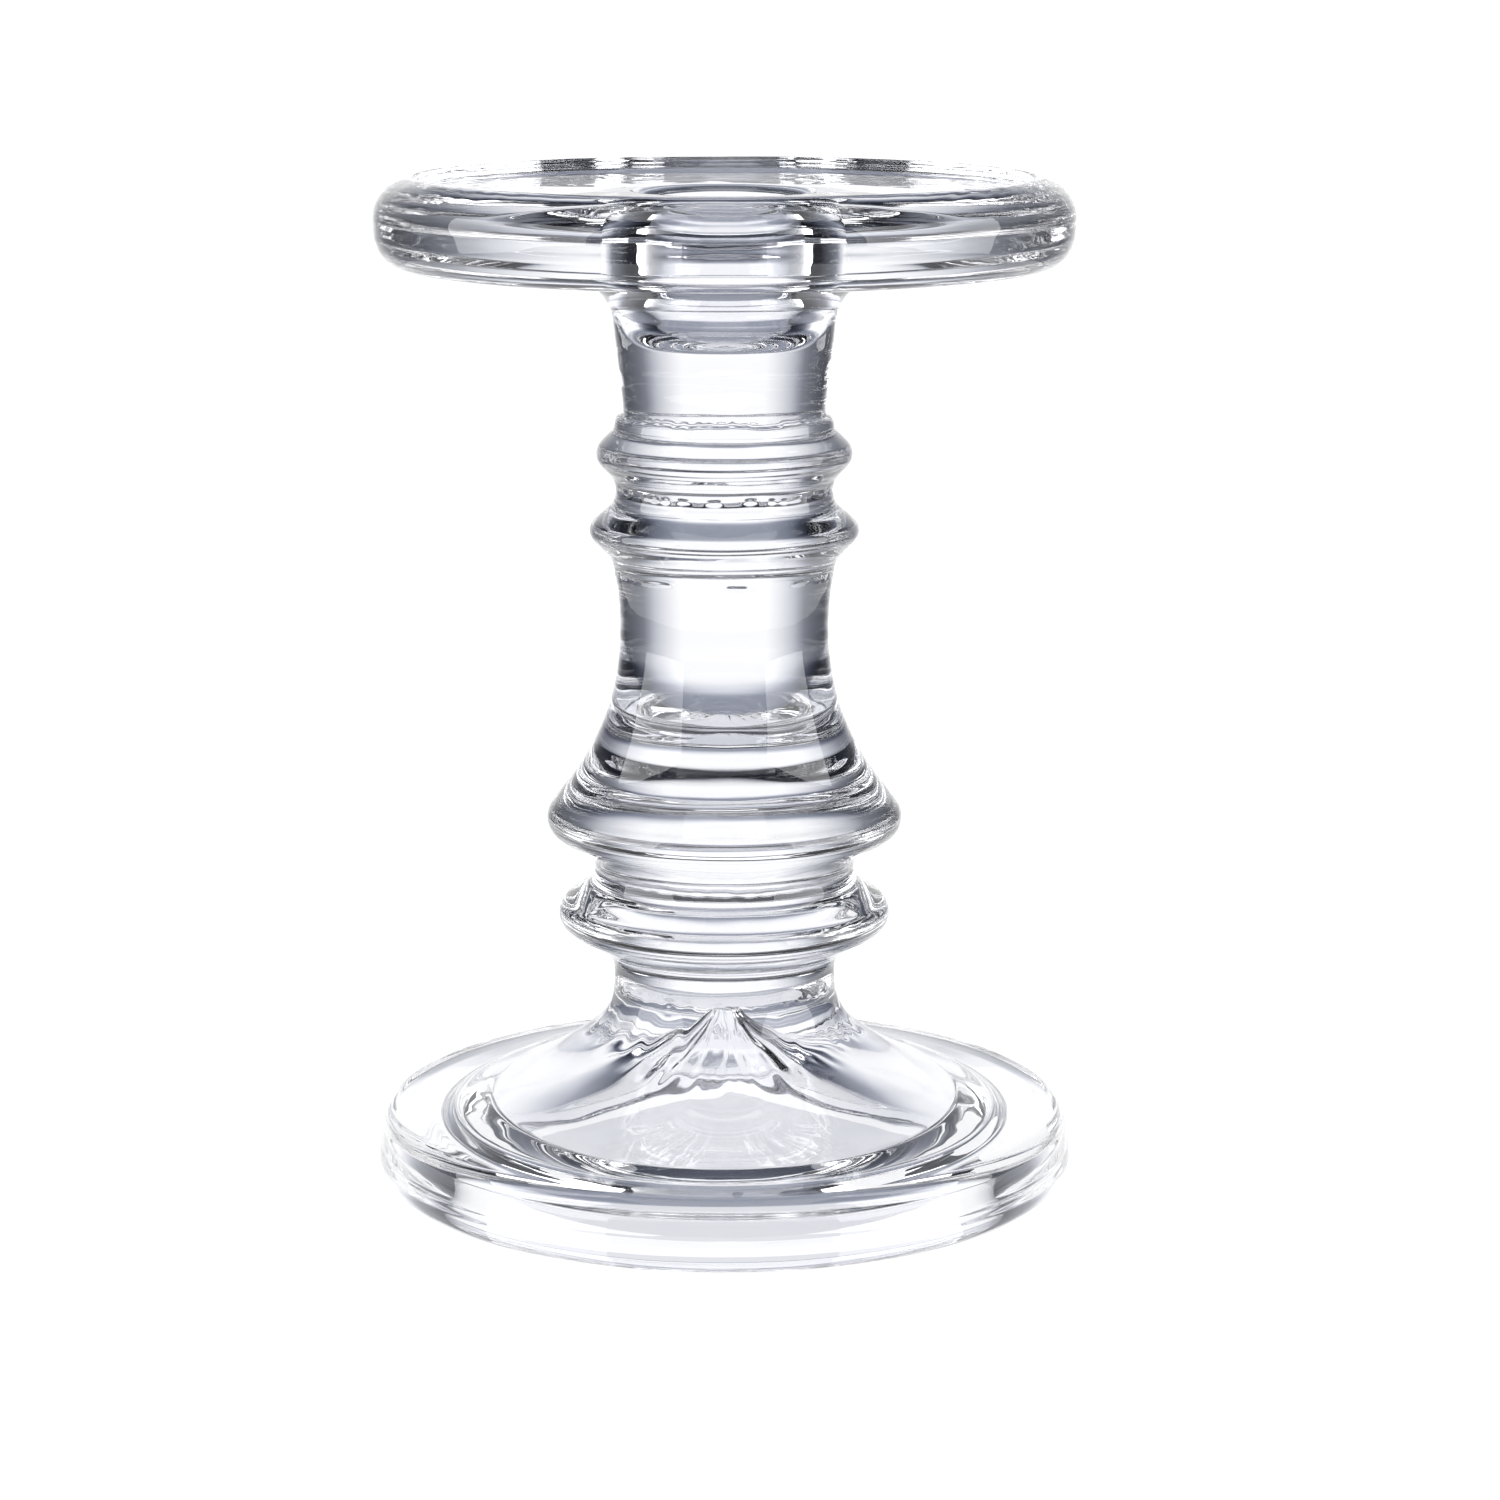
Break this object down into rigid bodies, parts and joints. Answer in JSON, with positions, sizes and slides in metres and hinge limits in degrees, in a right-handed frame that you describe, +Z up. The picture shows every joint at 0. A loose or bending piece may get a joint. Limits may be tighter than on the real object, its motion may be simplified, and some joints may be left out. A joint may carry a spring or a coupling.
{
  "type": "glass candlestick",
  "caption": "Clear glass candlestick: thick round drip dish with a taper socket, ringed stem with a bell-shaped knop, and a heavy domed foot that is hollow underneath.",
  "frame": {"origin": "on the upright axis, in the plane of the table that the foot stands on", "axes": "+Z up the axis towards the candle; +X and +Y level (the shape is the same all round)"},
  "size_m": [0.102, 0.102, 0.1463],
  "materials": {
    "clear_glass": "fire-polished, clear and colourless"
  },
  "bodies": {
    "root": {"domed_foot": "clear_glass", "lower_collar": "clear_glass", "bell_baluster": "clear_glass", "middle_collar": "clear_glass", "upper_collar": "clear_glass", "candle_socket": "clear_glass", "drip_dish": "clear_glass"}
  },
  "joints": []
}
